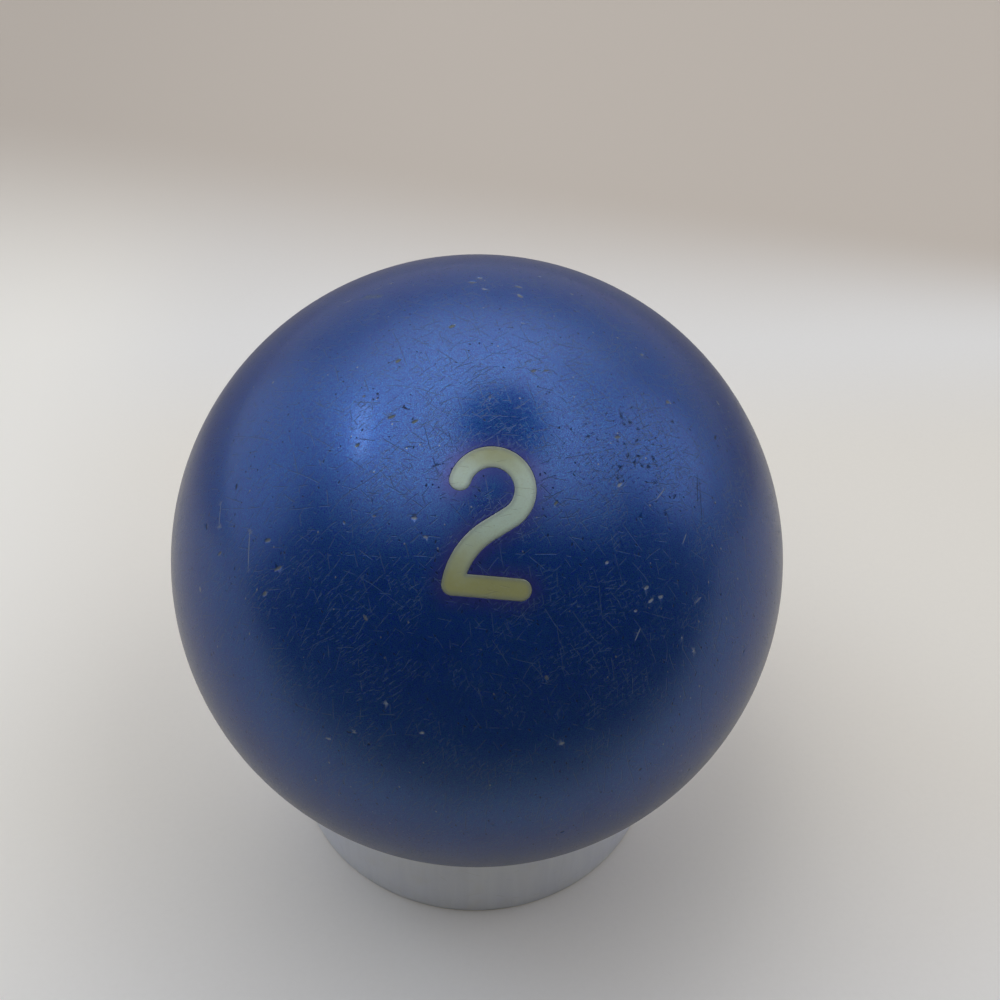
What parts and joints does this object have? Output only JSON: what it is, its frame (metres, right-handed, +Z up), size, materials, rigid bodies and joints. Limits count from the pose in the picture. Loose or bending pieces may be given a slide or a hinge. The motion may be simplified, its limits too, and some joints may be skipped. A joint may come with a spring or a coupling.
{
  "type": "case opening friction ball",
  "caption": "Hard glossy ball with an inlaid numeral, resting in a short plastic ring; lifted out and pressed on a screw-down watch back to turn it by friction.",
  "frame": {"origin": "centre of the ring's foot, on the surface that it stands on, straight below the ball's centre", "axes": "+Z up, -Y towards the front numeral, +X to the right of somebody who reads that numeral"},
  "size_m": [0.0572, 0.0572, 0.0605],
  "materials": {
    "ring_plastic": "milky, slightly bluish moulded plastic with a satin surface",
    "ball_resin": "pearly deep blue cast resin, polished, with fine scratches, pits and chips",
    "numeral_resin": "cream yellow resin filled flush into the engraved numeral"
  },
  "bodies": {
    "stand": {"ring_stand": "ring_plastic"},
    "ball": {"ball_body": "ball_resin", "numeral_front": "numeral_resin", "numeral_back": "numeral_resin"}
  },
  "joints": [
    {"name": "ball_lift", "type": "slide", "parent": "stand", "child": "ball", "axis": [0, 0, 1], "range_m": [0, 0.06]}
  ]
}
